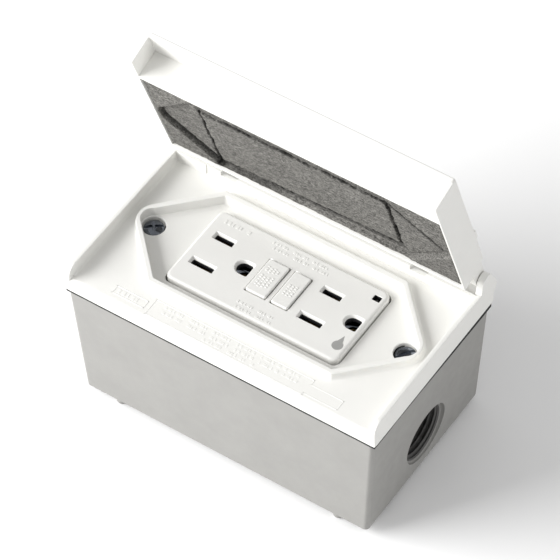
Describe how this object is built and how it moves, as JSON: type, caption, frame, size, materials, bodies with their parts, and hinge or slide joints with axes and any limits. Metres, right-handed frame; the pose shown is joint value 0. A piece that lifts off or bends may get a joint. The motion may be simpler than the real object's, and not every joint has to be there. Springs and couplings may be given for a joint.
{
  "type": "gfci outlet",
  "caption": "Ground-fault receptacle in a grey weatherproof wall box, with a white flip-up cover, foam-lined lid, reset and test buttons and a threaded conduit entry.",
  "frame": {"origin": "centre of the box's back face, in the plane of that face; the four small feet stand 2.5 mm below it", "axes": "+Z out of the wall through the device's face, +X along the box towards the open conduit hole, +Y across the box towards the lid's hinge"},
  "size_m": [0.12, 0.0728, 0.1308],
  "materials": {
    "casting": "fine powder coat on a die casting",
    "cover": "moulded, satin",
    "gasket": "closed-cell sheet",
    "foam": "open grey foam",
    "device_face": "moulded, semi-gloss",
    "button": "moulded, satin",
    "steel": "zinc plated",
    "brass": "plain",
    "green_screw": "green plated",
    "insulator": "moulded",
    "copper": "enamelled wire and strip",
    "board": "solder resist on laminate",
    "component": "epoxy",
    "lamp": "tinted epoxy",
    "lens": "dark tinted"
  },
  "bodies": {
    "enclosure": {"box_body": "casting", "closure_plug": "casting", "box_gasket": "gasket", "box_ground_screw": "green_screw", "cover_base": "cover", "hinge_pin_right": "cover", "hinge_pin_left": "cover", "cover_screw_left": "steel", "cover_screw_right": "steel", "device_face": "device_face", "mounting_strap": "steel", "device_screw_left": "steel", "device_screw_right": "steel", "ground_contact_left": "brass", "ground_contact_right": "brass", "hot_contact_strip": "brass", "neutral_contact_strip": "brass", "separator": "insulator", "rear_housing": "insulator", "housing_screw_1": "steel", "housing_screw_2": "steel", "housing_screw_3": "steel", "housing_screw_4": "steel", "ground_terminal_screw": "green_screw", "spring_seat": "insulator", "reset_spring": "steel", "test_leaf_spring": "brass", "solenoid_bobbin": "cover", "solenoid_coil": "copper", "solenoid_yoke": "steel", "toroid_sleeve": "cover", "sense_toroid": "copper", "neutral_toroid": "copper", "circuit_board": "board", "varistor": "component", "control_chip": "component", "indicator_lamp": "lamp", "light_pipe": "lens", "line_hot_screw": "brass", "line_hot_terminal_plate": "brass", "line_hot_pressure_plate": "steel", "line_neutral_screw": "steel", "line_neutral_terminal_plate": "steel", "line_neutral_pressure_plate": "steel", "load_hot_screw": "brass", "load_hot_terminal_plate": "brass", "load_hot_pressure_plate": "steel", "load_neutral_screw": "steel", "load_neutral_terminal_plate": "steel", "load_neutral_pressure_plate": "steel"},
    "lid": {"lid": "cover", "lid_foam_pad": "foam"},
    "reset": {"reset_button": "button", "reset_latch_pin": "steel"},
    "test": {"test_button": "button"},
    "carriage": {"contact_carriage": "insulator", "moving_contact_hot": "copper", "moving_contact_neutral": "copper"},
    "latch": {"latch_plate": "steel"},
    "plunger": {"solenoid_plunger": "steel"}
  },
  "joints": [
    {"name": "lid_hinge", "type": "hinge", "parent": "enclosure", "child": "lid", "pos_m": [0, 0.032, 0.0632], "axis": [-1, 0, 0], "range_deg": [-72.2, 32.8]},
    {"name": "reset_press", "type": "slide", "parent": "enclosure", "child": "reset", "axis": [0, 0, -1], "range_m": [0, 0.002], "stiffness_N_per_m": 900, "springref_m": -0.0015, "deforming": ["reset_spring"]},
    {"name": "test_press", "type": "slide", "parent": "enclosure", "child": "test", "axis": [0, 0, -1], "range_m": [0, 0.0015], "stiffness_N_per_m": 900, "springref_m": -0.0012, "deforming": ["test_leaf_spring"]},
    {"name": "carriage_lift", "type": "slide", "parent": "enclosure", "child": "carriage", "axis": [0, 0, -1], "range_m": [0, 0.0015], "stiffness_N_per_m": 300, "springref_m": -0.001},
    {"name": "latch_slide", "type": "slide", "parent": "carriage", "child": "latch", "axis": [1, 0, 0], "range_m": [0, 0.0015], "stiffness_N_per_m": 200, "springref_m": -0.0008},
    {"name": "plunger_stroke", "type": "slide", "parent": "enclosure", "child": "plunger", "axis": [1, 0, 0], "range_m": [0, 0.0015], "stiffness_N_per_m": 200, "springref_m": -0.0008}
  ],
  "couplings": [
    {"joint": "latch_slide", "follows": "plunger_stroke", "ratio": 1}
  ]
}
